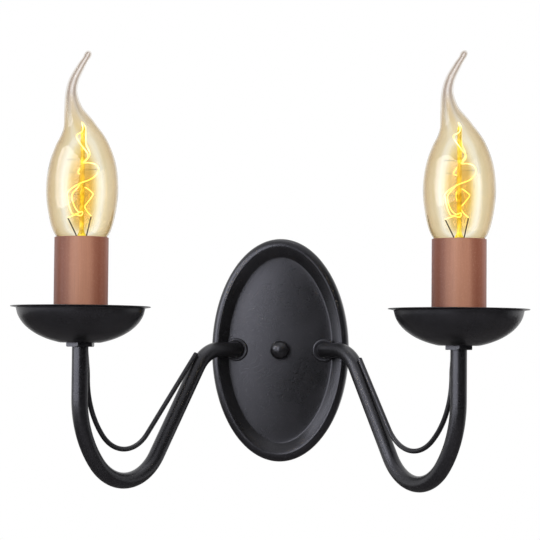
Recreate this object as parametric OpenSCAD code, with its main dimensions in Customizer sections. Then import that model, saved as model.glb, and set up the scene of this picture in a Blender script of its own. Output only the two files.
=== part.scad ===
// Two-light wall lamp: oval backplate, two U-bent arms, drip pans, candle sleeves and bent-tip bulbs.
// The origin is the middle of the backplate on the wall. The wall is the plane Y = 0, the front is -Y.
// The left and right of the names are those of someone who faces the lamp.

/* [Backplate] */
// Width of the oval
plate_w = 73; // [70:1:84]
// Height of the oval
plate_h = 119; // [110:1:140]
// Distance from the wall to the front of the flat face
plate_depth = 14; // [13.5:0.5:18]
// Thickness of the pressed sheet
sheet = 1; // [0.8:0.1:1.2]
// Width of the rounded bead at the plate's sides
bead_w = 8.5; // [7.5:0.1:9]
// Width of the bead at the plate's top and bottom
bead_end_w = 9.8; // [8.5:0.1:11]
// Height of the bead above the face
bead_h = 4; // [3:0.2:5]

/* [Wall bracket] */
// Width of the strap
strap_w = 16; // [14:1:17]
// Length of the strap
strap_l = 88; // [84:1:92]
// Thickness of the strap
strap_t = 2; // [1.5:0.25:2.5]
// Distance between the middles of the two slots
slot_spacing = 64; // [62:1:66]
// Width of a slot
slot_w = 4.5; // [4:0.25:5]
// Travel of a screw along a slot
slot_travel = 10; // [6:0.5:11]
// Diameter of the threaded stud
stud_d = 4; // [3.5:0.5:4]
// Diameter of the ball knob
knob_d = 10; // [9:0.5:12]

/* [Arms] */
// Outer diameter of the tube
tube_d = 8; // [7.5:0.1:8.6]
// Inner diameter of the tube
tube_bore = 6; // [5.6:0.1:6.2]
// Outer diameter of the collar round a tube's root, which is cut off straight beside the bead
collar_d = 12.3; // [11:0.1:13]
// Height of the collar
collar_t = 2.2; // [1.6:0.2:3]
// Angle between an arm and the wall, seen from above
splay = 55; // [50:1:60]
// Length of the tube in front of the face, up to its sideways bend
arm_stub = 5.5; // [5.5:0.5:8]
// Radius of the sideways bend
stub_bend = 8; // [6:0.5:9]
// Reach of an arm from its sideways bend to the lamp's axis
arm_reach = 118.2; // [112:0.2:124]
// Depth of the lowest point of the tube's middle line under the arm's hole
arm_drop = 65.6; // [62:0.5:70]
// Angle between the slanted run and the vertical
slant = 34.8; // [33:0.2:36.5]
// Radius of the bend at the top of the slanted run
top_bend = 22; // [18:1:24]
// Radius of the bend at the bottom of the arm
low_bend = 28; // [26:0.5:30]
// Radius of the wide bend that leads up to the lamp
side_bend = 48; // [44:1:52]
// Turn of that wide bend
side_turn = 40; // [36:1:42]

/* [Brace rods] */
// Diameter of a rod
rod_d = 2.5; // [2:0.1:3]
// Slant of the left rod and of the right rod
rod_slant = [42.5, 37];
// Depth of the lowest point of the left rod and of the right rod
rod_drop = [50, 49.5];
// Radius of the lowest bend of the left rod and of the right rod
rod_low_bend = [22, 26];
// Turn of the wide bend of the left rod and of the right rod
rod_side_turn = [40, 50];

/* [Drip pans] */
// Height of a pan's underside over the arm's hole
pan_seat = 2.5; // [2:0.5:6]
// Outer radius of the flat rim
flange_r = 34; // [33:0.5:37]
// Outer radius of the bowl at its rim
bowl_r = 31.2; // [29:0.2:32]
// Depth of the bowl
bowl_depth = 17.7; // [16:0.5:20]
// Radius of the bowl's flat bottom
bowl_floor_r = 9.6; // [9.2:0.2:11]
// Thickness of the pan's sheet
pan_sheet = 0.8; // [0.6:0.1:1]

/* [Lamp holders] */
// Outer diameter of the candle sleeve
sleeve_d = 26.3; // [26:0.1:27]
// Wall of the candle sleeve
sleeve_wall = 0.6; // [0.4:0.1:0.7]
// Height of the sleeve's top over a pan's rim
sleeve_rise = 33.4; // [32:0.2:36]
// Diameter of the moulded holder
holder_d = 22; // [21:0.5:23]
// Height of the moulded holder, from its base disc to its mouth
holder_h = 41.5; // [41:0.5:42.5]
// Outer diameter of the brass threaded shell
shell_d = 14.6; // [14.5:0.1:15]
// Wall of the brass threaded shell
shell_wall = 0.3; // [0.25:0.05:0.35]
// Diameter of an insulated wire
wire_d = 1.9; // [1.6:0.1:2]

/* [Bulbs] */
// Greatest diameter of the glass
bulb_d = 35; // [33:0.5:37]
// Height of the glass from the lip of its neck to its tip
glass_h = 99.2; // [90:0.4:110]
// Wall of the glass
glass_wall = 0.7; // [0.5:0.1:0.9]
// Clearance between the bulb's cap and the threaded shell
thread_gap = 0.05; // [0.03:0.01:0.08]
// Diameter of the glowing filament
filament_d = 0.6; // [0.4:0.1:0.8]

/* [Hidden] */
$fn = 48;
LEFT = -1;
RIGHT = 1;

// Elbows are drawn a hair fatter than the straights, so that their walls enclose the straights' ends,
// and the straights are turned a little about their own line, so that no two seams lie together
swell = 0.02;
lap = 0.2;
seam_turn = 11;
// Gap of a seated piece, of a screw or stud in a plain hole, and of a brazed rod
seat = 0.05;
hole_gap = 0.3;
braze = 0.02;

black = [0.2, 0.2, 0.22];
copper = [0.6, 0.41, 0.33];
brass = [0.78, 0.62, 0.32];
steel = [0.66, 0.67, 0.7];
white = [0.9, 0.9, 0.88];
amber = [0.9, 0.75, 0.4, 0.5];

// Fasteners
washer_t = 0.8;
washer_r = 7.5;
tube_nut_t = 3;
tube_nut_flats = 12.6;
pan_nut_t = 2;
lock_nut_t = 2.5;
small_nut_flats = 7;
small_nut_t = 3.2;
tail_l = 1.2;

// Levels and places behind the plate
tube_to_bead = 0.5;
arm_x = plate_w / 2 - bead_w - tube_d / 2 - tube_to_bead;
face_y = -plate_depth;
back_y = face_y + sheet;
tube_tail_y = back_y + washer_t + tube_nut_t + tail_l;
block_x = 9;
block_y = [back_y + seat, back_y + 8.5];
pole_z = [14, 22];
pole_y = back_y + 4.5;
barrel_d = 5.2;
barrel_bore = 3.2;
barrel_l = 15;
clamp_x = 4.5;
clamp_d = 2.6;
earth_z = -22;
bracket_earth_z = -15;
wire_turn_y = tube_tail_y + 3.6;
wire_bend = 2;

// Levels of the lamp, over the arm's hole
pan_top = pan_seat + pan_sheet;
rim_z = pan_seat + bowl_depth;
base_z = pan_top + lock_nut_t;
base_t = 2.8;
neck_h = 6.2;
holder_z = base_z + base_t;
tube_top = base_z + neck_h;
mouth_z = holder_z + holder_h;
sleeve_top = rim_z + sleeve_rise;
chamber_h = 13.4;
floor_t = 2.5;
shelf_z = holder_z + chamber_h;
shell_z = shelf_z + floor_t;
shell_h = 18.5;
bowl_full = bowl_depth / sqrt(1 - pow(bowl_floor_r / bowl_r, 2));
wire_shift = wire_d / 2 + 2 * seat;
lug_t = 0.5;
lug_w = 4;
contact_lug_x = 3.9;
shell_lug_x = shell_d / 2 - shell_wall;

// Levels of the bulb, counted from the holder's shelf
contact_z = shell_z + 2;
insulator_z = contact_z + 0.9;
cap_z = insulator_z + 1.8;
cap_r = shell_d / 2 - shell_wall - thread_gap;
cap_wall = 0.35;
cap_straight = 15;
skirt_z = cap_z + 1.8 + cap_straight;
skirt_h = 3.6;
skirt_r = cap_r + 1.8;
neck_z = skirt_z - 0.6;
glass_sides = 24;

// Stations up the glass: share of its height, sideways shift of its middle as a share of that height,
// and share of its radius
glass_rows = [
    [0, 0, 0.343], [0.045, 0, 0.463], [0.1, 0, 0.76], [0.19, 0, 0.92], [0.312, 0, 1],
    [0.435, 0, 0.935], [0.54, -0.006, 0.735], [0.62, -0.02, 0.475], [0.705, -0.0475, 0.27],
    [0.79, -0.0595, 0.172], [0.857, -0.0475, 0.137], [0.928, -0.012, 0.108], [0.983, 0.021, 0.09],
    [1, 0.03, 0.03]];
glass_steps = 3;
hollow_share = 0.8;

// The filament's points: sideways, forward and height over the glass's neck
filament_points = [
    [-7, 0, 17.5], [-7.5, -1.5, 24], [-3, -3.5, 30], [3, -3, 33], [8, 0, 39], [4, 3, 45],
    [-1, 3, 50], [-3, 0, 55], [0, -2, 60], [3, 0, 55], [2.5, 3, 48], [-4, 4, 42],
    [-6, 3, 34], [0, 4, 29], [5, 2, 27], [4.5, 0, 17.5]];
filament_steps = 3;
filament_sides = 5;
stem_top = 62;
hook_heights = [28, 38.5, 46, 60];
lead_foot = [1.4, 0, 9];

// Vectors and placing
function unit(v) = v / norm(v);
function side_of(u) = abs(u.z) < 0.9 ? unit(cross([0, 0, 1], u)) : unit(cross([0, 1, 0], u));
function along(w, u, p) = let (v = cross(w, u))
    [[u.x, v.x, w.x, p.x], [u.y, v.y, w.y, p.y], [u.z, v.z, w.z, p.z], [0, 0, 0, 1]];

// Bent tube or wire through corner points, with a bend radius at each corner
function turn_at(p, q, r) = acos(unit(q - p) * unit(r - q));
function setback(p, q, r, rad) = rad * tan(turn_at(p, q, r) / 2);

module wall(od, id) {
    difference() {
        circle(d = od);
        if (id > 0) circle(d = id);
    }
}

module straight(p, q, od, id) {
    u = unit(q - p);
    multmatrix(along(u, side_of(u), p)) rotate(seam_turn) linear_extrude(norm(q - p)) wall(od, id);
}

module elbow(p, q, r, rad, od, id) {
    u = unit(q - p);
    normal = unit(cross(u, unit(r - q)));
    inward = cross(normal, u);
    centre = q - u * setback(p, q, r, rad) + inward * rad;
    multmatrix(along(normal, -inward, centre))
        rotate_extrude(angle = turn_at(p, q, r))
            translate([rad, 0]) wall(od + 2 * swell, id > 0 ? id - 2 * swell : 0);
}

module bent(points, radii, od, id = 0) {
    last = len(points) - 1;
    cut = [for (i = [0:last]) i == 0 || i == last ? 0
        : setback(points[i - 1], points[i], points[i + 1], radii[i]) - lap];
    for (i = [0:last - 1]) {
        u = unit(points[i + 1] - points[i]);
        straight(points[i] + u * cut[i], points[i + 1] - u * cut[i + 1], od, id);
    }
    for (i = [1:last - 1]) elbow(points[i - 1], points[i], points[i + 1], radii[i], od, id);
}

// A smooth row of values between stations
function blend(a, b, c, d, t) = b + t * ((c - a) / 2
    + t * ((a - 2.5 * b + 2 * c - 0.5 * d) + t * (1.5 * b - 1.5 * c + 0.5 * d - 0.5 * a)));
function smooth(rows, steps) = let (last = len(rows) - 1) concat(
    [for (i = [0:last - 1]) for (k = [0:steps - 1])
        blend(rows[max(i - 1, 0)], rows[i], rows[i + 1], rows[min(i + 2, last)], k / steps)],
    [rows[last]]);

// A closed skin over rings of the same count; a loop of rings joins its last ring to its first
function skin_faces(rings, sides, looped) = concat(
    [for (i = [0:rings - (looped ? 1 : 2)]) for (k = [0:sides - 1])
        let (a = i * sides, b = ((i + 1) % rings) * sides, n = (k + 1) % sides)
        each [[a + k, b + k, b + n], [a + k, b + n, a + n]]],
    looped ? [] : [[for (k = [0:sides - 1]) k], [for (k = [sides - 1:-1:0]) (rings - 1) * sides + k]]);

// One lamp's frame: places on the arm's upright plane, by reach and height, and the lamp's axis
function on_plane(reach, height, off = 0) = [
    arm_x + reach * cos(splay) + off * sin(splay),
    face_y - arm_stub - reach * sin(splay) + off * cos(splay),
    height];
lamp_spot = on_plane(arm_reach, 0);

module on_side(side) {
    mirror([side < 0 ? 1 : 0, 0, 0]) children();
}

module at_lamp(side) {
    translate([side * lamp_spot.x, lamp_spot.y, 0]) children();
}

module both_lamps() {
    for (side = [LEFT, RIGHT]) at_lamp(side) children();
}

module hex_nut(flats, thick, bore) {
    difference() {
        intersection() {
            cylinder(d = flats / cos(30), h = thick, $fn = 6);
            cylinder(d1 = flats * 1.02, d2 = flats * 1.02 + 2 * thick * 1.7, h = thick);
        }
        translate([0, 0, -1]) cylinder(d = bore, h = thick + 2);
    }
}

// Wall bracket
module mounting_bracket() {
    color(steel) difference() {
        union() {
            translate([-strap_w / 2, -strap_t, -strap_l / 2 + strap_w / 2])
                cube([strap_w, strap_t, strap_l - strap_w]);
            for (end = [-1, 1])
                translate([0, 0, end * (strap_l - strap_w) / 2]) rotate([90, 0, 0])
                    cylinder(d = strap_w, h = strap_t);
        }
        for (end = [-1, 1]) translate([0, 1, end * slot_spacing / 2]) slot();
        translate([0, 1, 0]) rotate([90, 0, 0]) cylinder(d = stud_d + 2 * braze, h = strap_t + 2);
        translate([0, 1, bracket_earth_z]) rotate([90, 0, 0])
            cylinder(d = stud_d + 2 * braze, h = strap_t + 2);
    }
}

module slot() {
    for (end = [-1, 1]) translate([0, 0, end * slot_travel / 2]) rotate([90, 0, 0])
        cylinder(d = slot_w, h = strap_t + 2);
    translate([-slot_w / 2, -strap_t - 2, -slot_travel / 2]) cube([slot_w, strap_t + 2, slot_travel]);
}

knob_base_t = 1;
knob_base_d = knob_d * 0.62;
knob_centre_y = face_y - knob_base_t - knob_d * 0.42;
stud_tip_y = knob_centre_y - 0.5;

module canopy_stud() {
    color(steel) rotate([90, 0, 0]) cylinder(d = stud_d, h = -stud_tip_y);
}

module stud_nut() {
    color(steel) translate([0, -strap_t, 0]) rotate([90, 0, 0])
        hex_nut(small_nut_flats, small_nut_t, stud_d + 2 * braze);
}

module bracket_earth_screw() {
    color(brass) translate([0, 0, bracket_earth_z]) rotate([90, 0, 0]) difference() {
        union() {
            cylinder(d = stud_d, h = strap_t + 0.5);
            translate([0, 0, strap_t]) cylinder(d = stud_d * 2.2, h = 0.8);
            translate([0, 0, strap_t + 0.8]) cylinder(d = stud_d * 1.75, h = 2.2);
        }
        translate([-stud_d, -0.5, strap_t + 2]) cube([2 * stud_d, 1, 2]);
    }
}

// Backplate: the bead's section, swept round the oval, and the flat face inside it
bead_steps = 10;
oval_steps = 72;
face_lap = 3;
function oval(t) = [plate_w / 2 * cos(t), plate_h / 2 * sin(t)];
function oval_in(t) = -unit([plate_h / 2 * cos(t), plate_w / 2 * sin(t)]);
function bead_at(t) = bead_w + (bead_end_w - bead_w) * pow(sin(t), 2);
function plate_ring(share, inset, y) = [for (i = [0:oval_steps - 1])
    let (t = 360 * i / oval_steps, p = oval(t) + (share * bead_at(t) + inset) * oval_in(t)) [p.x, y, p.y]];
// A point of the section is its share of the bead's width, a distance beyond that, and its depth
function bead(wall_t) = [for (i = [0:bead_steps]) let (t = 180 * i / bead_steps)
    [(1 - cos(t)) / 2, wall_t * cos(t), face_y - (bead_h - wall_t) * sin(t)]];
plate_section = concat([[0, 0, 0]], bead(0), [[1, face_lap, face_y], [1, face_lap, back_y]],
    [[1, -sheet, back_y]], [for (i = [bead_steps:-1:0]) bead(sheet)[i]], [[0, sheet, 0]]);

module backplate() {
    color(black) difference() {
        union() {
            polyhedron([for (p = plate_section) each plate_ring(p[0], p[1], p[2])],
                skin_faces(len(plate_section), oval_steps, true), convexity = 6);
            rotate([90, 0, 0]) translate([0, 0, -back_y]) linear_extrude(sheet)
                polygon([for (p = plate_ring(1, face_lap - 1, 0)) [p.x, p.z]]);
        }
        for (side = [LEFT, RIGHT]) translate([side * arm_x, 0, 0]) rotate([90, 0, 0])
            cylinder(d = tube_d + 2 * seat, h = plate_depth + 9);
        rotate([90, 0, 0]) cylinder(d = stud_d + 2 * hole_gap, h = plate_depth + 9);
    }
}

module canopy_knob() {
    color(black) difference() {
        union() {
            translate([0, knob_centre_y, 0]) rotate([90, 0, 0]) sphere(d = knob_d);
            translate([0, face_y - seat, 0]) rotate([90, 0, 0])
                cylinder(d = knob_base_d, h = knob_base_t + 1);
        }
        translate([0, face_y + 5, 0]) rotate([90, 0, 0])
            cylinder(d = stud_d + 2 * seat, h = 5 + face_y - stud_tip_y + 0.4);
        translate([0, face_y - seat + 3, 0]) rotate([90, 0, 0])
            cylinder(d = knob_d, h = 3);
    }
}

module arm_collars() {
    inner = tube_d / 2 + seat;
    outer = collar_d / 2;
    cut_x = plate_w / 2 - bead_w - hole_gap;
    color(black) for (side = [LEFT, RIGHT]) on_side(side) difference() {
        translate([arm_x, face_y, 0]) rotate([90, 0, 0]) rotate_extrude() polygon([
            [inner, 0], [outer, 0], [outer, collar_t * 0.45], [outer - 0.2, collar_t * 0.75],
            [outer - 0.5, collar_t * 0.95], [outer - 0.9, collar_t], [inner, collar_t * 0.8]]);
        translate([cut_x, face_y - 2 * collar_t, -collar_d])
            cube([collar_d, 3 * collar_t, 2 * collar_d]);
    }
}

module arm_washers() {
    color(steel) for (side = [LEFT, RIGHT]) translate([side * arm_x, back_y + washer_t, 0])
        rotate([90, 0, 0]) difference() {
            cylinder(r = washer_r, h = washer_t);
            translate([0, 0, -1]) cylinder(d = tube_d + 2 * seat, h = washer_t + 2);
        }
}

module arm_nuts() {
    color(steel) for (side = [LEFT, RIGHT]) translate([side * arm_x, back_y + washer_t + tube_nut_t, 0])
        rotate([90, 0, 0]) hex_nut(tube_nut_flats, tube_nut_t, tube_d + 2 * seat);
}

// Terminals
module terminal_block() {
    z0 = pole_z[0] - 4.2;
    z1 = pole_z[1] + 4.2;
    color(white) difference() {
        union() {
            translate([-block_x, block_y[0], z0]) cube([2 * block_x, block_y[1] - block_y[0] - 2, z1 - z0]);
            for (z = pole_z) translate([-block_x + 1.5, block_y[0], z - 3])
                cube([2 * block_x - 3, block_y[1] - block_y[0], 6]);
        }
        for (z = pole_z) {
            translate([-block_x - 1, pole_y, z]) rotate([0, 90, 0])
                cylinder(d = barrel_bore, h = 2 * block_x + 2);
            translate([-barrel_l / 2 - seat, pole_y, z]) rotate([0, 90, 0])
                cylinder(d = barrel_d + 2 * seat, h = barrel_l + 2 * seat);
            for (x = [-clamp_x, clamp_x]) translate([x, block_y[1] + 1, z]) rotate([90, 0, 0])
                cylinder(d = clamp_d + 1, h = block_y[1] + 1 - pole_y);
        }
    }
}

module terminal_inserts() {
    color(brass) for (z = pole_z) translate([0, pole_y, z]) difference() {
        translate([-barrel_l / 2, 0, 0]) rotate([0, 90, 0]) cylinder(d = barrel_d, h = barrel_l);
        translate([-barrel_l / 2 - 1, 0, 0]) rotate([0, 90, 0]) cylinder(d = barrel_bore, h = barrel_l + 2);
        for (x = [-clamp_x, clamp_x]) translate([x, barrel_d, 0]) rotate([90, 0, 0])
            cylinder(d = clamp_d + 2 * braze, h = barrel_d);
    }
}

module terminal_screws() {
    tip = pole_y + wire_d / 2 + seat;
    color(steel) for (z = pole_z) for (x = [-clamp_x, clamp_x])
        translate([x, block_y[1] - 0.6, z]) rotate([90, 0, 0]) difference() {
            cylinder(d = clamp_d, h = block_y[1] - 0.6 - tip);
            translate([-clamp_d, -0.3, -0.1]) cube([2 * clamp_d, 0.6, 1]);
        }
}

module earth_stud() {
    color(steel) translate([0, back_y + 8, earth_z]) rotate([90, 0, 0]) cylinder(d = stud_d, h = 8 - seat);
}

module earth_nut() {
    color(brass) translate([0, back_y + small_nut_t + 0.8, earth_z]) rotate([90, 0, 0]) {
        hex_nut(small_nut_flats, small_nut_t, stud_d + 2 * braze);
    }
}

// Arms: corner points on the arm's plane, from the lamp's axis back to the plate
low_turn = 90 - side_turn;
between = 1;
function bend_path(reach, drop, low_rad, low_angle, side_rad, slant_angle) = let (
    tangent_z = low_rad * (1 - cos(low_angle)) + side_rad * cos(low_angle)
        + between * sin(low_angle) - drop,
    side_back = side_rad * tan((90 - low_angle) / 2),
    low_back = low_rad * tan((90 - slant_angle + low_angle) / 2),
    side_corner = [reach, tangent_z - side_back],
    low_corner = side_corner - (side_back + low_back + between) * [cos(low_angle), sin(low_angle)])
    [low_corner, side_corner];
arm_corners = bend_path(arm_reach, arm_drop, low_bend, low_turn, side_bend, slant);
top_corner = [arm_corners[0][0] + arm_corners[0][1] * tan(slant), 0];

function root_corner(off) = on_plane(off * (1 - sin(splay)) / cos(splay), 0, off);
function arm_points(start_y, top_z, off = 0) = [
    [arm_x + off, start_y, 0], root_corner(off), on_plane(top_corner[0], 0, off),
    on_plane(arm_corners[0][0], arm_corners[0][1], off),
    on_plane(arm_corners[1][0], arm_corners[1][1], off), on_plane(arm_reach, top_z, off)];
function arm_radii(off = 0) = [0, stub_bend - off, top_bend, low_bend, side_bend, 0];

module arm_tube(side) {
    color(black) on_side(side)
        bent(arm_points(tube_tail_y, tube_top), arm_radii(), tube_d, tube_bore);
}

// Brace rod: brazed to the top bend, sweeping through the U and up the lamp end of the tube
rod_tail = 1.5;
rod_head = 4;
function rod_points(k) = let (
    pitch = tube_d / 2 + swell + rod_d / 2 + swell + braze,
    hub = [top_corner[0] - top_bend * tan((90 - slant) / 2), -top_bend],
    n = [cos(rod_slant[k]), sin(rod_slant[k])],
    touch = hub + (top_bend + pitch) * n,
    reach = arm_reach - pitch,
    low_angle = 90 - rod_side_turn[k],
    low_rad = rod_low_bend[k],
    low_x = hub[0] + (top_bend + pitch + low_rad - n[1] * (low_rad - rod_drop[k] - hub[1])) / n[0],
    side_rad = (reach - low_x - low_rad * sin(low_angle) - between * cos(low_angle))
        / (1 - sin(low_angle)),
    corners = bend_path(reach, rod_drop[k], low_rad, low_angle, side_rad, rod_slant[k]),
    start = touch + rod_tail * [-n[1], n[0]],
    top_z = corners[1][1] + side_rad * tan((90 - low_angle) / 2) + rod_head)
    [[start, corners[0], corners[1], [reach, top_z]], [0, low_rad, side_rad, 0]];

module arm_rod(side) {
    path = rod_points(side < 0 ? 0 : 1);
    color(black) on_side(side)
        bent([for (p = path[0]) on_plane(p[0], p[1])], path[1], rod_d);
}

// Wires: through the tube side by side, then to the terminal block and to the lamp holder
module arm_wire(side, off, pole, lug) {
    run = arm_points(wire_turn_y, tube_top - 1, off);
    bends = arm_radii(off);
    lug_off = off > 0 ? lug - wire_d / 2 - seat : -lug + wire_d / 2 + seat;
    points = concat(
        [[clamp_x - 2, pole_y, pole_z[pole]], [arm_x + off, pole_y, pole_z[pole]]],
        [for (i = [0:4]) run[i]],
        [on_plane(arm_reach, tube_top + 1, off), on_plane(arm_reach, tube_top + 3.5, lug_off),
         on_plane(arm_reach, tube_top + 7.5, lug_off)]);
    arm_radii = [for (i = [1:4]) bends[i]];
    radii = concat([0, wire_bend, wire_bend], arm_radii, [wire_bend / 2, wire_bend / 2, 0]);
    on_side(side) bent(points, radii, wire_d);
}

module live_wire(side) {
    color("brown") arm_wire(side, -wire_shift, 0, contact_lug_x);
}

module neutral_wire(side) {
    color("steelblue") arm_wire(side, wire_shift, 1, shell_lug_x);
}

// Drip pan
pan_steps = 10;
function bowl_line(r_axis, z_axis, floor_level) = let (
    start = asin(min(1, (rim_z - floor_level) / z_axis)))
    [for (i = [0:pan_steps]) let (t = start * (1 - i / pan_steps))
        [r_axis * cos(t), rim_z - z_axis * sin(t)]];

module drip_pan(side) {
    bore = tube_d / 2 + seat;
    lip = 0.35;
    color(black) at_lamp(side) rotate_extrude() polygon(concat(
        [[bore, pan_seat]], bowl_line(bowl_r, bowl_full, pan_seat + 0.001),
        [[bowl_r + 0.01, rim_z - pan_sheet], [flange_r - lip, rim_z - pan_sheet],
         [flange_r, rim_z - pan_sheet + lip], [flange_r, rim_z - lip], [flange_r - lip, rim_z]],
        [for (i = [pan_steps:-1:0]) bowl_line(bowl_r - pan_sheet, bowl_full - pan_sheet, pan_top)[i]],
        [[bore, pan_top]]));
}

module pan_nuts() {
    color(black) both_lamps() translate([0, 0, pan_seat - pan_nut_t])
        rotate(30) hex_nut(tube_nut_flats, pan_nut_t, tube_d + 2 * seat);
}

module pan_lock_nuts() {
    color(steel) both_lamps() translate([0, 0, pan_top])
        hex_nut(tube_nut_flats, lock_nut_t, tube_d + 2 * seat);
}

// Lamp holder
module socket_base(side) {
    color(steel) at_lamp(side) rotate_extrude() polygon([
        [tube_d / 2 + seat, base_z], [holder_d / 2, base_z], [holder_d / 2, holder_z],
        [7, holder_z], [6.2, holder_z + 0.8], [6.2, tube_top - 0.6], [tube_d / 2 + seat, tube_top - 0.6]]);
}

rib_w = 1.4;
module socket_shell(side) {
    r = holder_d / 2;
    color(white) at_lamp(side) difference() {
        union() {
            translate([0, 0, holder_z]) cylinder(r = r, h = holder_h);
            for (turn = [0:90:270]) rotate(turn + 45) translate([r - 1, -rib_w / 2, shelf_z])
                cube([sleeve_d / 2 - sleeve_wall - 0.25 - r + 1, rib_w, mouth_z - shelf_z - 3]);
        }
        translate([0, 0, holder_z - 1]) cylinder(r = r - 1.4, h = chamber_h + 1);
        translate([0, 0, shell_z]) cylinder(d = shell_d + 2 * braze, h = holder_h);
        translate([0, 0, skirt_z - 0.6]) cylinder(r = skirt_r + 0.4, h = holder_h);
        turn_to_arm(side) {
            lug_slot(contact_lug_x, -1);
            lug_slot(shell_lug_x, 1);
        }
    }
}

// Turns a piece so that its own X runs square to the arm's plane
module turn_to_arm(side) {
    on_side(side) rotate(90 - splay) children();
}

module lug_slot(x, way) {
    gap = 0.2;
    translate([way * (x + lug_t / 2) - lug_t / 2 - gap, -lug_w / 2 - gap, shelf_z - 1])
        cube([lug_t + 2 * gap, lug_w + 2 * gap, floor_t + 2]);
}

module socket_thread(side) {
    color(brass) at_lamp(side) {
        difference() {
            union() {
                translate([0, 0, shell_z]) cylinder(d = shell_d, h = shell_h);
                turn_to_arm(side) translate([shell_lug_x, -lug_w / 2, shelf_z - 6])
                    cube([lug_t, lug_w, floor_t + 7]);
            }
            translate([0, 0, shell_z - 0.01]) cylinder(d = shell_d - 2 * shell_wall, h = shell_h + 1);
        }
    }
}

module centre_contact(side) {
    leaf_z = contact_z - seat;
    color(brass) at_lamp(side) turn_to_arm(side) rotate([90, 0, 0])
        translate([0, 0, -lug_w / 2]) linear_extrude(lug_w) polygon([
            [-contact_lug_x - lug_t, shelf_z - 6], [-contact_lug_x, shelf_z - 6],
            [-contact_lug_x, shell_z + 0.4], [-1.5, leaf_z - lug_t], [1.5, leaf_z - lug_t],
            [3, shell_z + 0.6], [3.4, shell_z + 0.9], [1.7, leaf_z], [-1.7, leaf_z],
            [-contact_lug_x - lug_t, shell_z + 0.7]]);
}

module candle_sleeve(side) {
    r = sleeve_d / 2;
    low_z = rim_z - (bowl_full - pan_sheet) * sqrt(1 - pow(r / (bowl_r - pan_sheet), 2)) + 2 * seat;
    color(copper) at_lamp(side) translate([0, 0, low_z]) difference() {
        cylinder(r = r, h = sleeve_top - low_z);
        translate([0, 0, -1]) cylinder(r = r - sleeve_wall, h = sleeve_top - low_z + 2);
    }
}

// Bulb: glass swept along its bent middle line
glass_line = smooth(glass_rows, glass_steps);
function glass_point(row) = [row[1] * glass_h, 0, neck_z + row[0] * glass_h];
function glass_tilt(i) = let (last = len(glass_line) - 1)
    unit(glass_point(glass_line[min(i + 1, last)]) - glass_point(glass_line[max(i - 1, 0)]));
function glass_ring(i, thin) = let (row = glass_line[i], p = glass_point(row), w = glass_tilt(i),
    r = row[2] * bulb_d / 2 - thin)
    [for (k = [0:glass_sides - 1]) let (t = 360 * k / glass_sides)
        p + r * (cos(t) * [w.z, 0, -w.x] + sin(t) * [0, 1, 0])];

module bulb_glass(side) {
    last = len(glass_line) - 1;
    hollow = floor(last * hollow_share);
    rings = concat([for (i = [hollow:-1:0]) glass_ring(i, glass_wall)],
        [for (i = [0:last]) glass_ring(i, 0)]);
    color(amber) at_lamp(side) polyhedron([for (ring = rings) each ring],
        skin_faces(len(rings), glass_sides, false), convexity = 6);
}

module bulb_stem(side) {
    color(amber) at_lamp(side) translate([0, 0, neck_z]) rotate_extrude() polygon([
        [0, 0.2], [5, 0.2], [4.2, 3], [2.6, 6], [2.1, 9.5], [1.1, 11], [1.1, stem_top],
        [0.5, stem_top + 0.6], [0, stem_top + 0.6]]);
}

function tube_ring(points, i, r, sides) = let (last = len(points) - 1,
    w = unit(points[min(i + 1, last)] - points[max(i - 1, 0)]),
    u = unit(cross(w, [0, 1, 0.02])), v = cross(w, u))
    [for (k = [0:sides - 1]) points[i] + r * (cos(360 * k / sides) * u + sin(360 * k / sides) * v)];

module bulb_filament(side) {
    points = smooth(filament_points, filament_steps);
    color("gold") at_lamp(side) translate([0, 0, neck_z]) polyhedron(
        [for (i = [0:len(points) - 1]) each tube_ring(points, i, filament_d / 2, filament_sides)],
        skin_faces(len(points), filament_sides, false), convexity = 8);
}

module bulb_leads(side) {
    wire = 0.4;
    hook_l = 2.2;
    color(steel) at_lamp(side) translate([0, 0, neck_z]) {
        for (end = [filament_points[0], filament_points[len(filament_points) - 1]]) {
            foot = [sign(end.x) * (lead_foot.x + 1), lead_foot.y, lead_foot.z];
            straight(foot, [end.x, end.y, end.z - filament_d / 2 - seat], wire, 0);
        }
        for (z = hook_heights) translate([1.1 + braze, 0, z]) rotate([0, 90, 0])
            cylinder(d = wire, h = hook_l);
    }
}

module bulb_cap(side) {
    color(steel) at_lamp(side) rotate_extrude() polygon([
        [5, cap_z], [cap_r, cap_z + 1.8], [cap_r, skirt_z], [skirt_r, skirt_z + skirt_h],
        [skirt_r - cap_wall, skirt_z + skirt_h], [cap_r - cap_wall, skirt_z + 0.2],
        [cap_r - cap_wall, cap_z + 2], [5, cap_z + 0.5]]);
}

module bulb_insulator(side) {
    color([0.1, 0.1, 0.12]) at_lamp(side) rotate_extrude() polygon([
        [0, insulator_z], [2.4, insulator_z], [4.95, cap_z], [4.95, cap_z + 0.9], [0, cap_z + 0.9]]);
}

module bulb_contact(side) {
    color(steel) at_lamp(side) rotate_extrude() polygon([
        [0, contact_z], [1.6, contact_z], [2.3, contact_z + 0.45], [2.3, insulator_z], [0, insulator_z]]);
}

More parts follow.
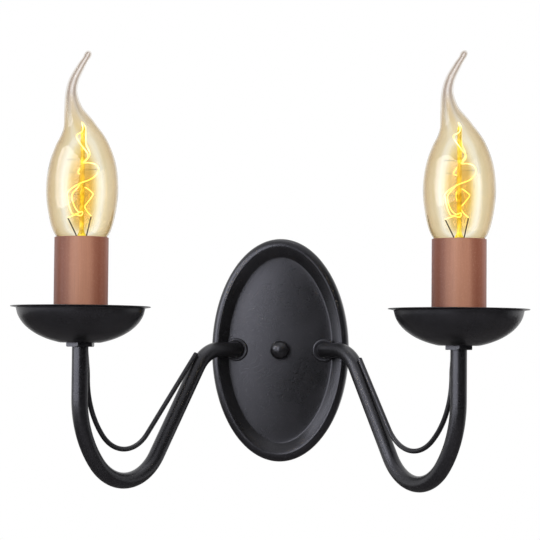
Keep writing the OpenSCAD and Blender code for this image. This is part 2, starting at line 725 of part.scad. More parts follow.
mounting_bracket();
canopy_stud();
stud_nut();
bracket_earth_screw();
backplate();
canopy_knob();
arm_collars();
arm_washers();
arm_nuts();
terminal_block();
terminal_inserts();
terminal_screws();
earth_stud();
earth_nut();
pan_nuts();
pan_lock_nuts();
arm_tube(LEFT);  // left_arm_tube
arm_tube(RIGHT);  // right_arm_tube
arm_rod(LEFT);  // left_arm_rod
arm_rod(RIGHT);  // right_arm_rod
drip_pan(LEFT);  // left_drip_pan
drip_pan(RIGHT);  // right_drip_pan
socket_base(LEFT);  // left_socket_base
socket_base(RIGHT);  // right_socket_base
socket_shell(LEFT);  // left_socket_shell
socket_shell(RIGHT);  // right_socket_shell
socket_thread(LEFT);  // left_socket_thread
socket_thread(RIGHT);  // right_socket_thread
centre_contact(LEFT);  // left_centre_contact
centre_contact(RIGHT);  // right_centre_contact
candle_sleeve(LEFT);  // left_candle_sleeve
candle_sleeve(RIGHT);  // right_candle_sleeve
live_wire(LEFT);  // left_live_wire
live_wire(RIGHT);  // right_live_wire
neutral_wire(LEFT);  // left_neutral_wire
neutral_wire(RIGHT);  // right_neutral_wire
bulb_glass(LEFT);  // left_bulb_glass
bulb_glass(RIGHT);  // right_bulb_glass
bulb_stem(LEFT);  // left_bulb_stem
bulb_stem(RIGHT);  // right_bulb_stem
bulb_filament(LEFT);  // left_bulb_filament
bulb_filament(RIGHT);  // right_bulb_filament
bulb_leads(LEFT);  // left_bulb_leads
bulb_leads(RIGHT);  // right_bulb_leads
bulb_cap(LEFT);  // left_bulb_cap
bulb_cap(RIGHT);  // right_bulb_cap
bulb_insulator(LEFT);  // left_bulb_insulator
bulb_insulator(RIGHT);  // right_bulb_insulator
bulb_contact(LEFT);  // left_bulb_contact
bulb_contact(RIGHT);  // right_bulb_contact
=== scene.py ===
"""A two-light wall lamp.

An oval plate with a ball knob, two bent arms with brace rods, drip pans, candle sleeves and bulbs
with bent tips.
"""
import math

import bmesh
import bpy
from mathutils import Matrix, Vector


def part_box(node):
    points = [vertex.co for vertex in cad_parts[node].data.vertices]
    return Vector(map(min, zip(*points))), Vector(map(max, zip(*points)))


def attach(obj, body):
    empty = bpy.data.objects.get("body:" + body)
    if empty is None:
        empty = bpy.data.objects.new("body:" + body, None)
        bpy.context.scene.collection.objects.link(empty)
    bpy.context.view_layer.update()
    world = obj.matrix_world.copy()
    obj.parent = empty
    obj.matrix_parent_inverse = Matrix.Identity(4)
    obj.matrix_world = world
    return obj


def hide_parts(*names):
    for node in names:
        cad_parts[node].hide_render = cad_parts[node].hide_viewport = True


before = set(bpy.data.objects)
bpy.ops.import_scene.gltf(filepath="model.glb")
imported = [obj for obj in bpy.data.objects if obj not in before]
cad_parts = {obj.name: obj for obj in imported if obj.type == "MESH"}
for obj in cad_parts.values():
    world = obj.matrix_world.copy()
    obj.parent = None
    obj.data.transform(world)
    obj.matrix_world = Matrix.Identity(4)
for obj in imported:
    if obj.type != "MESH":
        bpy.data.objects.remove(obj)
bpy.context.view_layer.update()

MM = 0.001
SIDES = {"left": -1, "right": 1}
# In millimetres: points this close become one, in a new mesh and in a finished piece
WELD = 0.001
SEAM = 0.002


# ---- places and sizes, in millimetres, from the parts in model.glb and from a few driving values
def low(node):
    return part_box(node)[0] / MM


def high(node):
    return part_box(node)[1] / MM


def middle(node):
    return (low(node) + high(node)) / 2


# The plate: a pressed oval dish with a bead round it and a slightly domed face
SHEET = 1.0
PLATE_A = high("backplate").x
PLATE_B = high("backplate").z
FACE_DOME = 1.5
STUD_HOLE_R = 2.3
# The bead's width at the plate's sides and at its ends, and its height over the face
BEAD_W = 8.5
BEAD_END_W = 9.8
BEAD_H = 4.0
# The share of its width at which the bead is highest, and how its inner slope falls: 1 is straight
BEAD_CREST = 0.42
SLOPE_CURVE = 1.28
FACE_Y = low("backplate").y + BEAD_H
BACK_Y = FACE_Y + SHEET

# The arm tubes, and the holes that take them
TUBE_R = 4.0
TUBE_WALL = 1.0
PLAY = 0.05
BORE_R = TUBE_R + PLAY
TUBE_TAIL_Y = high("left_arm_tube").y
TUBE_TOP = high("left_arm_tube").z
WASHER_R = 7.5
COLLAR_R = 6.15
COLLAR_T = 2.2
COLLAR_CUT = high("arm_collars").x
ARM_X = high("arm_washers").x - WASHER_R
LAMP_X = middle("right_candle_sleeve").x
LAMP_Y = middle("right_candle_sleeve").y
# An arm's way: straight out of the face, sideways, down a slant, and up through two bends
UPRIGHT = math.pi / 2
SPLAY = math.radians(55)
STUB = 5.5
STUB_BEND = 8.0
REACH = (LAMP_X - ARM_X) / math.cos(SPLAY)
DROP = 65.6
SLANT = math.radians(34.8)
TOP_BEND = 22.0
LOW_BEND = 28.0
SIDE_BEND = 48.0
SIDE_TURN = math.radians(40)
BETWEEN = 1.0

# The brace rods: each one's slant, its drop, the radius of its lowest bend and the wide bend's turn
ROD_R = 1.25
ROD_GAP = 0.06
ROD_PITCH = TUBE_R + ROD_R + ROD_GAP
ROD = {
    "left": dict(slant=math.radians(42.5), drop=50.0, low=22.0, turn=math.radians(40)),
    "right": dict(slant=math.radians(37), drop=49.5, low=26.0, turn=math.radians(50)),
}
# A rod's straight ends, the bend that leads its top into the tube's wall, and how deep that goes
ROD_TAIL = 1.5
ROD_HEAD = 2.0
ROD_FADE = 22.0
ROD_SINK = 2 * ROD_R + 0.2

# The drip pans: a bowl of rolled sheet with a flange that is thinner at its edge
PAN_LOW = low("left_drip_pan").z
RIM_Z = high("left_drip_pan").z
FLANGE_R = (high("left_drip_pan").x - low("left_drip_pan").x) / 2
BOWL_R = 31.2
BOWL_FLOOR_R = 9.6
PAN_SHEET = 0.8
RIM_EDGE = 0.45

SLEEVE_R = (high("left_candle_sleeve").x - low("left_candle_sleeve").x) / 2
SLEEVE_LOW = low("left_candle_sleeve").z
SLEEVE_TOP = high("left_candle_sleeve").z
SLEEVE_WALL = 0.6

# The glass: its neck's wall and its hollow are shares of its radius and length
TIP_SPARE = 0.15
GLASS_LOW = low("left_bulb_glass").z
GLASS_H = high("left_bulb_glass").z - GLASS_LOW - TIP_SPARE
GLASS_R = (high("left_bulb_glass").x - low("left_bulb_glass").x) / 2
GLASS_WALL = 0.7
NECK_WALL_SHARE = 0.3
HOLLOW_SHARE = 0.92

# The knob: its neck stands a little into the face, and its thread ends past the ball's middle
KNOB_R = 5.0
KNOB_NECK_R = KNOB_R * 0.62
KNOB_SINK = 0.05
THREAD_R = 2.1
THREAD_PAST_MIDDLE = 0.6

# A bulb's wires
FILAMENT_R = 0.23
LEAD_R = 0.3
HOOK_R = 0.08


# ---- mesh helpers; all of them take millimetres and leave the object at the origin
def finished(mesh, name, body, material, crease=32):
    """Closes the seams, shades the faces and sets the piece on its body."""
    work = bmesh.new()
    work.from_mesh(mesh)
    bmesh.ops.remove_doubles(work, verts=work.verts, dist=SEAM * MM)
    work.to_mesh(mesh)
    work.free()
    for face in mesh.polygons:
        face.use_smooth = True
    mesh.set_sharp_from_angle(angle=math.radians(crease))
    mesh.materials.clear()
    mesh.materials.append(material)
    piece = bpy.data.objects.new(name, mesh)
    bpy.context.scene.collection.objects.link(piece)
    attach(piece, body)
    return piece


def mesh_of(points, faces, name):
    """A mesh of points and faces, with its seams closed and every face turned outward."""
    mesh = bpy.data.meshes.new(name)
    mesh.from_pydata([Vector(p) * MM for p in points], [], faces)
    work = bmesh.new()
    work.from_mesh(mesh)
    bmesh.ops.remove_doubles(work, verts=work.verts, dist=WELD * MM)
    bmesh.ops.recalc_face_normals(work, faces=work.faces)
    work.to_mesh(mesh)
    work.free()
    return mesh


def band(a, b, count):
    """The faces between two rings of one count, given by the number of each ring's first point."""
    return [(a + k, b + k, b + (k + 1) % count, a + (k + 1) % count) for k in range(count)]


def skin(rings, looped, name):
    """A skin over rings of one count: a loop, or a line of rings with both ends closed."""
    count = len(rings[0])
    points = [p for ring in rings for p in ring]
    faces = []
    for i in range(len(rings) if looped else len(rings) - 1):
        faces += band(i * count, ((i + 1) % len(rings)) * count, count)
    if not looped:
        faces.append(tuple(range(count)))
        faces.append(tuple(range((len(rings) - 1) * count, len(rings) * count)))
    return mesh_of(points, faces, name)


def arc(centre, start, end, sweep, steps):
    """Points round a centre, from one arm to another that stands a sweep away from it."""
    line = []
    for k in range(steps + 1):
        t = k / steps
        arm = start * math.sin((1 - t) * sweep) + end * math.sin(t * sweep)
        line.append(centre + arm / math.sin(sweep))
    return line


def rounded(corners, steps=4):
    """An outline through (across, up, radius) corners, each rounded by its radius."""
    line = []
    for i, (x, y, radius) in enumerate(corners):
        here = Vector((x, y))
        if radius <= 0:
            line.append(here)
            continue
        to_last = (Vector(corners[i - 1][:2]) - here).normalized()
        to_next = (Vector(corners[(i + 1) % len(corners)][:2]) - here).normalized()
        half = to_last.angle(to_next) / 2
        centre = here + (to_last + to_next).normalized() * radius / math.sin(half)
        start = here + to_last * radius / math.tan(half) - centre
        end = here + to_next * radius / math.tan(half) - centre
        sweep = start.angle(end)
        line += arc(centre, start, end, sweep, steps)
    return line


def turned(outline, name, steps=128):
    """A closed outline of (radius, height) points, turned round the Z axis."""
    turns = [math.tau * k / steps for k in range(steps)]
    rings = []
    for across, height in outline:
        radius = max(across, 0.0)
        rings.append([(radius * math.cos(t), radius * math.sin(t), height) for t in turns])
    return skin(rings, looped=True, name=name)


def moved(mesh, place, towards_front=False):
    """Moves a turned mesh into place; towards_front lays its axis along -Y."""
    if towards_front:
        mesh.transform(Matrix.Rotation(math.radians(90), 4, "X"))
    mesh.transform(Matrix.Translation(Vector(place) * MM))
    return mesh


def joined(meshes, name):
    work = bmesh.new()
    for mesh in meshes:
        work.from_mesh(mesh)
        bpy.data.meshes.remove(mesh)
    whole = bpy.data.meshes.new(name)
    work.to_mesh(whole)
    work.free()
    return whole


# ---- node helpers
def put(tree, kind, inputs=None, **settings):
    """Adds a node; an input is a plain value, or a socket to link from."""
    made = tree.nodes.new(kind)
    for name, value in settings.items():
        setattr(made, name, value)
    for name, value in (inputs or {}).items():
        if isinstance(value, bpy.types.NodeSocket):
            tree.links.new(value, made.inputs[name])
        else:
            made.inputs[name].default_value = value
    return made


def geometry_tree(name, sockets):
    tree = bpy.data.node_groups.new(name, "GeometryNodeTree")
    tree.interface.new_socket("Geometry", in_out="INPUT", socket_type="NodeSocketGeometry")
    tree.interface.new_socket("Geometry", in_out="OUTPUT", socket_type="NodeSocketGeometry")
    for label, kind in sockets:
        tree.interface.new_socket(label, in_out="INPUT", socket_type="NodeSocket" + kind)
    return tree, tree.nodes.new("NodeGroupInput"), tree.nodes.new("NodeGroupOutput")


def end_tree(tree, geometry, material, out):
    """Makes the geometry real and gives it the material, at the tree's end."""
    real = put(tree, "GeometryNodeRealizeInstances", {"Geometry": geometry})
    painted = {"Geometry": real.outputs[0], "Material": material}
    paint = put(tree, "GeometryNodeSetMaterial", painted)
    tree.links.new(paint.outputs[0], out.inputs["Geometry"])


def grown(tree, mesh, values, wall=0.0):
    """Runs a tree on a mesh with values for its named inputs, and gives back a plain mesh.

    A wall, in millimetres, turns the skin into a hollow tube.
    """
    holder = bpy.data.objects.new("holder", mesh)
    bpy.context.scene.collection.objects.link(holder)
    grow = holder.modifiers.new("grow", "NODES")
    grow.node_group = tree
    for item in tree.interface.items_tree:
        if item.in_out == "INPUT" and item.name in values:
            grow[item.identifier] = values[item.name]
    if wall:
        shell = holder.modifiers.new("wall", "SOLIDIFY")
        shell.thickness = wall * MM
        shell.offset = -1
    depsgraph = bpy.context.evaluated_depsgraph_get()
    plain = bpy.data.meshes.new_from_object(holder.evaluated_get(depsgraph))
    holder.modifiers.clear()
    bpy.data.objects.remove(holder)
    return plain


def tube_tree():
    """A round tube or wire along the line of its mesh."""
    tree, given, out = geometry_tree(
        "Tube Along Line",
        [("Radius", "Float"), ("Sides", "Int"), ("Closed Ends", "Bool"), ("Material", "Material")],
    )
    line = put(tree, "GeometryNodeMeshToCurve", {"Mesh": given.outputs["Geometry"]})
    ring = put(
        tree,
        "GeometryNodeCurvePrimitiveCircle",
        {"Radius": given.outputs["Radius"], "Resolution": given.outputs["Sides"]},
    )
    tube = put(
        tree,
        "GeometryNodeCurveToMesh",
        {
            "Curve": line.outputs[0],
            "Profile Curve": ring.outputs["Curve"],
            "Fill Caps": given.outputs["Closed Ends"],
        },
    )
    end_tree(tree, tube.outputs[0], given.outputs["Material"], out)
    return tree


def line_mesh(points):
    mesh = bpy.data.meshes.new("line")
    edges = [(i, i + 1) for i in range(len(points) - 1)]
    mesh.from_pydata([Vector(p) * MM for p in points], edges, [])
    return mesh


# ---- lines that the tubes, rods and wires follow
def bent(points, radii, arc_step=math.radians(3)):
    """A line through corner points, with an arc of each corner's radius."""
    line = [Vector(points[0])]
    for i in range(1, len(points) - 1):
        here = Vector(points[i])
        back = (Vector(points[i - 1]) - here).normalized()
        on = (Vector(points[i + 1]) - here).normalized()
        half = back.angle(on) / 2
        cut = radii[i] / math.tan(half)
        centre = here + (back + on).normalized() * radii[i] / math.sin(half)
        start, end = here + back * cut - centre, here + on * cut - centre
        sweep = start.angle(end)
        line += arc(centre, start, end, sweep, max(2, round(sweep / arc_step)))
    line.append(Vector(points[-1]))
    return line


def on_plane(side, reach, height):
    """A place on an arm's upright plane, by its reach from the sideways bend and its height."""
    across = side * (ARM_X + reach * math.cos(SPLAY))
    return Vector((across, FACE_Y - STUB - reach * math.sin(SPLAY), height))


def bend_path(reach, drop, low_rad, low_angle, side_rad, slant):
    """The corners of the lowest bend and of the wide bend that leads up to the lamp."""
    bend_end = (
        low_rad * (1 - math.cos(low_angle))
        + side_rad * math.cos(low_angle)
        + BETWEEN * math.sin(low_angle)
        - drop
    )
    side_back = side_rad * math.tan((UPRIGHT - low_angle) / 2)
    low_back = low_rad * math.tan((UPRIGHT - slant + low_angle) / 2)
    run = side_back + low_back + BETWEEN
    side_corner = (reach, bend_end - side_back)
    low_corner = (
        side_corner[0] - run * math.cos(low_angle),
        side_corner[1] - run * math.sin(low_angle),
    )
    return low_corner, side_corner


ARM_LOW, ARM_SIDE = bend_path(REACH, DROP, LOW_BEND, UPRIGHT - SIDE_TURN, SIDE_BEND, SLANT)
ARM_TOP_REACH = ARM_LOW[0] + ARM_LOW[1] * math.tan(SLANT)


def arm_line(side):
    """A tube's middle line, from its tail behind the plate to its top in the holder."""
    points = [
        (side * ARM_X, TUBE_TAIL_Y, 0),
        on_plane(side, 0, 0),
        on_plane(side, ARM_TOP_REACH, 0),
        on_plane(side, *ARM_LOW),
        on_plane(side, *ARM_SIDE),
        on_plane(side, REACH, TUBE_TOP),
    ]
    return bent(points, [0, STUB_BEND, TOP_BEND, LOW_BEND, SIDE_BEND, 0])


def rod_line(name):
    """A rod's middle line: down from the top bend, round its lowest, up into the tube's wall."""
    rod = ROD[name]
    hub = Vector((ARM_TOP_REACH - TOP_BEND * math.tan((UPRIGHT - SLANT) / 2), -TOP_BEND))
    out = Vector((math.cos(rod["slant"]), math.sin(rod["slant"])))
    touch = hub + (TOP_BEND + ROD_PITCH) * out
    reach = REACH - ROD_PITCH
    drop, low_rad, low_angle = rod["drop"], rod["low"], UPRIGHT - rod["turn"]
    low_x = hub.x + (TOP_BEND + ROD_PITCH + low_rad - out.y * (low_rad - drop - hub.y)) / out.x
    spare = reach - low_x - low_rad * math.sin(low_angle) - BETWEEN * math.cos(low_angle)
    side_rad = spare / (1 - math.sin(low_angle))
    low_corner, side_corner = bend_path(reach, drop, low_rad, low_angle, side_rad, rod["slant"])
    start = touch + ROD_TAIL * Vector((-out.y, out.x))
    top = side_corner[1] + side_rad * math.tan((UPRIGHT - low_angle) / 2) + ROD_HEAD
    into_tube = (reach + ROD_SINK, top + ROD_FADE)
    flat = [tuple(start), low_corner, side_corner, (reach, top), into_tube]
    return bent([on_plane(SIDES[name], *p) for p in flat], [0, low_rad, side_rad, ROD_FADE, 0])


# ---- shader groups that several finishes share
def shader_group(name, inputs, outputs):
    tree = bpy.data.node_groups.new(name, "ShaderNodeTree")
    for label, value in inputs:
        kind = "NodeSocketVector" if value is None else "NodeSocketFloat"
        socket = tree.interface.new_socket(label, in_out="INPUT", socket_type=kind)
        if value is not None:
            socket.default_value = value
    for label in outputs:
        tree.interface.new_socket(label, in_out="OUTPUT", socket_type="NodeSocketFloat")
    return tree, tree.nodes.new("NodeGroupInput"), tree.nodes.new("NodeGroupOutput")


def spread(tree, value, low_end, high_end, to_low=0.0, to_high=1.0):
    """Stretches a narrow band of a value over a wider one."""
    ends = {"From Min": low_end, "From Max": high_end, "To Min": to_low, "To Max": to_high}
    return put(tree, "ShaderNodeMapRange", {"Value": value, **ends}).outputs["Result"]


def per_size(tree, size):
    """A texture's scale from the size of its grains."""
    return put(tree, "ShaderNodeMath", {0: 1.0, 1: size}, operation="DIVIDE").outputs[0]


def noise(tree, vector, scale, detail):
    """Soft noise round 0.5."""
    values = {"Vector": vector, "Scale": scale, "Detail": detail}
    return put(tree, "ShaderNodeTexNoise", values).outputs[0]


def grain_group():
    """The fine pebble of powder coat, cast metal or moulding: a mask, and a height for bump."""
    inputs = [("Vector", None), ("Size", 0.0006), ("Speck", 0.5)]
    tree, given, out = shader_group("Fine Grain", inputs, ["Grain", "Speck"])
    vector = given.outputs["Vector"]
    scale = per_size(tree, given.outputs["Size"])
    tree.links.new(spread(tree, noise(tree, vector, scale, 3.0), 0.3, 0.7), out.inputs["Grain"])
    cells = put(tree, "ShaderNodeTexVoronoi", {"Vector": vector, "Scale": scale})
    flecks = {0: spread(tree, cells.outputs["Color"], 0.72, 0.95), 1: given.outputs["Speck"]}
    speck = put(tree, "ShaderNodeMath", flecks, operation="MULTIPLY")
    tree.links.new(speck.outputs[0], out.inputs["Speck"])
    return tree


def cloud_group():
    """Slow changes over a surface, as of handling, dust and uneven coating."""
    tree, given, out = shader_group("Slow Cloud", [("Vector", None), ("Size", 0.03)], ["Cloud"])
    cloud = noise(tree, given.outputs["Vector"], per_size(tree, given.outputs["Size"]), 2.0)
    tree.links.new(spread(tree, cloud, 0.35, 0.65), out.inputs["Cloud"])
    return tree


# The scale of brushed metal's soft bands, against that of its lines
BAND_SCALE = 0.09


def brushed_group():
    """Fine lines and wider soft bands along Z, as on metal that was brushed or drawn lengthwise."""
    inputs = [("Vector", None), ("Line", 0.0004), ("Length", 40.0)]
    tree, given, out = shader_group("Lengthwise Brushing", inputs, ["Lines", "Bands"])
    fine = per_size(tree, given.outputs["Line"])
    drawn_out = {0: fine, 1: given.outputs["Length"]}
    slow = put(tree, "ShaderNodeMath", drawn_out, operation="DIVIDE").outputs[0]
    scale = put(tree, "ShaderNodeCombineXYZ", {"X": fine, "Y": fine, "Z": slow})
    places = {0: given.outputs["Vector"], 1: scale.outputs[0]}
    stretched = put(tree, "ShaderNodeVectorMath", places, operation="MULTIPLY")
    lines = noise(tree, stretched.outputs[0], 1.0, 4.0)
    bands = noise(tree, stretched.outputs[0], BAND_SCALE, 1.0)
    tree.links.new(spread(tree, lines, 0.3, 0.7), out.inputs["Lines"])
    tree.links.new(spread(tree, bands, 0.35, 0.65), out.inputs["Bands"])
    return tree


GRAIN = grain_group()
CLOUD = cloud_group()
BRUSHED = brushed_group()


# ---- materials
# Where a mix of two colours keeps its factor, its colours and its result among its sockets
MIX_FACTOR, MIX_FIRST, MIX_SECOND, MIX_RESULT = 0, 6, 7, 2


class Finish:
    """A material with its Principled shader, Object coordinates and the shared groups."""

    def __init__(self, name, **sockets):
        self.material = bpy.data.materials.new(name)
        self.material.use_nodes = True
        self.tree = self.material.node_tree
        self.shader = self.tree.nodes["Principled BSDF"]
        self.place = put(self.tree, "ShaderNodeTexCoord").outputs["Object"]
        for label, value in sockets.items():
            self.shader.inputs[label.replace("_", " ")].default_value = value

    def use(self, group, **inputs):
        """Adds a shared group on Object coordinates, and gives back its outputs."""
        made = put(self.tree, "ShaderNodeGroup", None, node_tree=group)
        self.tree.links.new(self.place, made.inputs["Vector"])
        for label, value in inputs.items():
            made.inputs[label].default_value = value
        return made.outputs

    def shades(self, value, *stops):
        """A colour for each part of a value's range: stops are (place, (r, g, b))."""
        made = put(self.tree, "ShaderNodeValToRGB", {"Fac": value})
        elements = made.color_ramp.elements
        while len(elements) < len(stops):
            elements.new(0.5)
        for element, (place, colour) in zip(elements, stops):
            element.position = place
            element.color = (*colour, 1)
        return made.outputs["Color"]

    def mix(self, factor, first, second):
        """The first colour where the factor is 0, and the second where it is 1."""
        colours = [c if isinstance(c, bpy.types.NodeSocket) else (*c, 1) for c in (first, second)]
        values = {MIX_FACTOR: factor, MIX_FIRST: colours[0], MIX_SECOND: colours[1]}
        return put(self.tree, "ShaderNodeMix", values, data_type="RGBA").outputs[MIX_RESULT]

    def range(self, value, low_end, high_end, to_low=0.0, to_high=1.0):
        return spread(self.tree, value, low_end, high_end, to_low, to_high)

    def combine(self, first, second, operation="ADD"):
        values = {0: first, 1: second}
        return put(self.tree, "ShaderNodeMath", values, operation=operation).outputs[0]

    def facing(self):
        """0 where the surface faces the eye, up to 1 where it turns away."""
        return put(self.tree, "ShaderNodeLayerWeight", {"Blend": 0.5}).outputs["Facing"]

    def mirrored(self):
        """1 for a ray that gloss throws back, 0 for one from the camera or through clear glass."""
        path = put(self.tree, "ShaderNodeLightPath").outputs
        return self.combine(path["Is Glossy Ray"], path["Is Transmission Ray"], "SUBTRACT")

    def bump(self, height, strength, distance):
        """Relief from a height, over a distance in millimetres."""
        values = {"Height": height, "Strength": strength, "Distance": distance * MM}
        self.feed("Normal", put(self.tree, "ShaderNodeBump", values).outputs[0])

    def feed(self, label, socket):
        self.tree.links.new(socket, self.shader.inputs[label])


def powder_coat():
    """Satin black powder coat with a cool gloss, a fine pebble and the odd paler speck."""
    cool = (0.89, 0.89, 1.0, 1)
    look = Finish(
        "Black powder coat", Roughness=0.3, Specular_IOR_Level=0.42, Specular_Tint=cool
    )
    grain = look.use(GRAIN, Size=0.55 * MM, Speck=0.4)
    cloud = look.use(CLOUD, Size=22 * MM)["Cloud"]
    dark = look.mix(cloud, (0.0035, 0.0033, 0.0034), (0.006, 0.0057, 0.0062))
    look.feed("Base Color", look.mix(grain["Speck"], dark, (0.02, 0.02, 0.022)))
    pebble = look.range(grain["Grain"], 0, 1, 0.25, 0.34)
    look.feed("Roughness", look.combine(pebble, look.range(cloud, 0, 1, 0, 0.03)))
    look.bump(grain["Grain"], 0.3, 0.07)
    return look.material


# The sleeve's colours from face on (0) to edge on (1), which paint its light and shade: a painted
# highlight face on, painted shade in a darker band beside it, and a painted sheen towards the edge
COPPER_PAINTED_SHADING = [
    (0.0, (0.3, 0.139, 0.085)),
    (0.06, (0.28, 0.125, 0.077)),
    (0.13, (0.205, 0.079, 0.047)),
    (0.24, (0.165, 0.054, 0.031)),
    (0.45, (0.22, 0.08, 0.049)),
    (0.75, (0.4, 0.21, 0.17)),
]


def copper_lacquer():
    """Antique-copper lacquer with faint lengthwise lines under a thin coat, its light and shade
    painted in by how it faces: a painted highlight face on, painted shade beside it and a painted
    sheen at the edges.
    """
    look = Finish(
        "Copper lacquer",
        Metallic=0.03,
        Specular_IOR_Level=0.08,
        Coat_Weight=0.12,
        Coat_Roughness=0.2,
    )
    facing = look.facing()
    brushed = look.use(BRUSHED, Line=0.25 * MM, Length=80.0)
    grain = look.use(GRAIN, Size=0.22 * MM, Speck=0.3)
    drift = look.combine(facing, look.range(brushed["Bands"], 0, 1, -0.02, 0.02))
    # Painted light and shade: brightest face on, darker in a band beside that, brighter again
    # towards the edge.
    tone = look.shades(drift, *COPPER_PAINTED_SHADING)
    lines = look.range(brushed["Lines"], 0, 1, 0.0, 0.3)
    lined = look.mix(lines, tone, (0.15, 0.065, 0.045))
    look.feed("Base Color", look.mix(grain["Speck"], lined, (0.46, 0.27, 0.19)))
    look.feed("Roughness", look.range(grain["Grain"], 0, 1, 0.5, 0.64))
    look.bump(grain["Grain"], 0.25, 0.06)
    return look.material


def plated_steel():
    """Bright zinc plating over rolled steel, with a faint crystal cloud."""
    look = Finish("Zinc-plated steel", Metallic=1.0, Roughness=0.32)
    cloud = look.use(CLOUD, Size=6 * MM)["Cloud"]
    grain = look.use(GRAIN, Size=0.3 * MM, Speck=0.3)
    tone = look.mix(cloud, (0.46, 0.47, 0.5), (0.62, 0.62, 0.63))
    look.feed("Base Color", look.mix(grain["Speck"], tone, (0.75, 0.76, 0.78)))
    look.feed("Roughness", look.range(cloud, 0, 1, 0.26, 0.4))
    look.bump(grain["Grain"], 0.2, 0.03)
    return look.material


def machined_brass():
    """Turned brass with fine tool lines."""
    look = Finish("Machined brass", Metallic=1.0, Roughness=0.28)
    cloud = look.use(CLOUD, Size=5 * MM)["Cloud"]
    brushed = look.use(BRUSHED, Line=0.15 * MM, Length=8.0)["Lines"]
    tone = look.mix(cloud, (0.62, 0.42, 0.16), (0.78, 0.57, 0.27))
    lines = look.range(brushed, 0, 1, 0, 0.3)
    look.feed("Base Color", look.mix(lines, tone, (0.5, 0.33, 0.12)))
    look.feed("Roughness", look.range(brushed, 0, 1, 0.2, 0.36))
    look.bump(brushed, 0.15, 0.02)
    return look.material


def moulded(name, pale, deep, rough):
    """Moulded plastic, or black glass: a faint flow mottle and an orange-peel skin."""
    look = Finish(name, Roughness=rough)
    cloud = look.use(CLOUD, Size=8 * MM)["Cloud"]
    grain = look.use(GRAIN, Size=0.4 * MM, Speck=0.2)
    tone = look.mix(cloud, pale, deep)
    look.feed("Base Color", look.mix(grain["Speck"], tone, pale))
    look.feed("Roughness", look.range(grain["Grain"], 0, 1, rough - 0.06, rough + 0.08))
    look.bump(grain["Grain"], 0.2, 0.04)
    return look.material


def height_share(look, low_end, high_end):
    """0 at one height and 1 at another, in millimetres."""
    split = put(look.tree, "ShaderNodeSeparateXYZ", {"Vector": look.place})
    return look.range(split.outputs["Z"], low_end * MM, high_end * MM)


# The glass's tints from face on (0) to edge on (1), in the body and in the neck, with painted light
# in them: in the body a painted golden glow face on, a painted pale highlight band and painted
# shade towards the edge; in the neck painted light and dark streaks
GLASS_BODY_PAINTED_LIGHT = [
    (0.0, (0.8, 0.59, 0.2)),
    (0.03, (0.83, 0.64, 0.27)),
    (0.065, (0.91, 0.81, 0.56)),
    (0.1, (0.96, 0.94, 0.86)),
    (0.17, (0.93, 0.89, 0.77)),
    (0.28, (0.77, 0.665, 0.47)),
    (0.5, (0.8, 0.69, 0.5)),
    (0.8, (0.52, 0.4, 0.24)),
]
GLASS_NECK_PAINTED_STREAKS = [
    (0.0, (0.92, 0.89, 0.87)),
    (0.08, (0.7, 0.63, 0.58)),
    (0.22, (0.56, 0.5, 0.45)),
    (0.45, (0.93, 0.9, 0.87)),
    (0.8, (0.56, 0.5, 0.45)),
]


def amber_glass():
    """Thin blown glass, amber in the body and grey in the neck, with painted light by how it faces:
    a painted golden glow face on, a painted pale highlight band and painted shade at the edge in
    the body, and painted streaks in the neck.
    """
    look = Finish("Amber glass", Roughness=0.0, IOR=1.3, Transmission_Weight=1.0)
    facing = look.facing()
    up = height_share(look, GLASS_LOW, GLASS_LOW + GLASS_H)
    # Painted light: a golden glow face on, a pale highlight band and a darker edge in the body;
    # light and dark streaks in the neck.
    body = look.shades(facing, *GLASS_BODY_PAINTED_LIGHT)
    neck = look.shades(facing, *GLASS_NECK_PAINTED_STREAKS)
    ripple = look.use(CLOUD, Size=14 * MM)["Cloud"]
    painted_glass_light = look.mix(look.range(up, 0.6, 0.8), body, neck)
    washed = look.range(ripple, 0, 1, 0, 0.15)
    look.feed("Base Color", look.mix(washed, painted_glass_light, (0.95, 0.92, 0.86)))
    look.feed("IOR", look.range(up, 0.6, 0.74, 1.28, 1.06))
    look.bump(ripple, 0.1, 0.25)
    return look.material


def lit_stem():
    """The pressed glass stem, with a painted golden glow standing in for the filament's light
    caught in it.
    """
    look = Finish(
        "Lit glass stem", Roughness=0.2, IOR=1.45, Transmission_Weight=0.2, Emission_Strength=0.8
    )
    cloud = look.use(CLOUD, Size=3 * MM)["Cloud"]
    grain = look.use(GRAIN, Size=0.8 * MM, Speck=1.0)
    # Painted glow: the stem's emission, with brighter flecks, stands in for the filament's light;
    # the stem is no lamp.
    painted_stem_glow = look.mix(cloud, (0.36, 0.26, 0.004), (0.85, 0.7, 0.03))
    look.feed("Base Color", look.mix(cloud, (0.22, 0.15, 0.01), (0.36, 0.27, 0.03)))
    look.feed("Emission Color", look.mix(grain["Speck"], painted_stem_glow, (1.0, 0.85, 0.22)))
    return look.material


def hot_wire():
    """The glowing filament: golden, with slightly deeper stretches."""
    look = Finish("Hot filament", Roughness=0.5, Emission_Strength=1.6)
    cloud = look.use(CLOUD, Size=4 * MM)["Cloud"]
    look.feed("Base Color", look.mix(cloud, (0.9, 0.6, 0.2), (1.0, 0.8, 0.4)))
    look.feed("Emission Color", look.mix(cloud, (0.95, 0.8, 0.18), (1.0, 0.95, 0.5)))
    return look.material


def lead_wire():
    """Dark oxidised wire without gloss."""
    look = Finish("Lead wire", Roughness=0.6, Specular_IOR_Level=0.0)
    cloud = look.use(CLOUD, Size=3 * MM)["Cloud"]
    look.feed("Base Color", look.mix(cloud, (0.012, 0.008, 0.005), (0.035, 0.022, 0.012)))
    look.feed("Roughness", look.range(cloud, 0, 1, 0.4, 0.6))
    return look.material


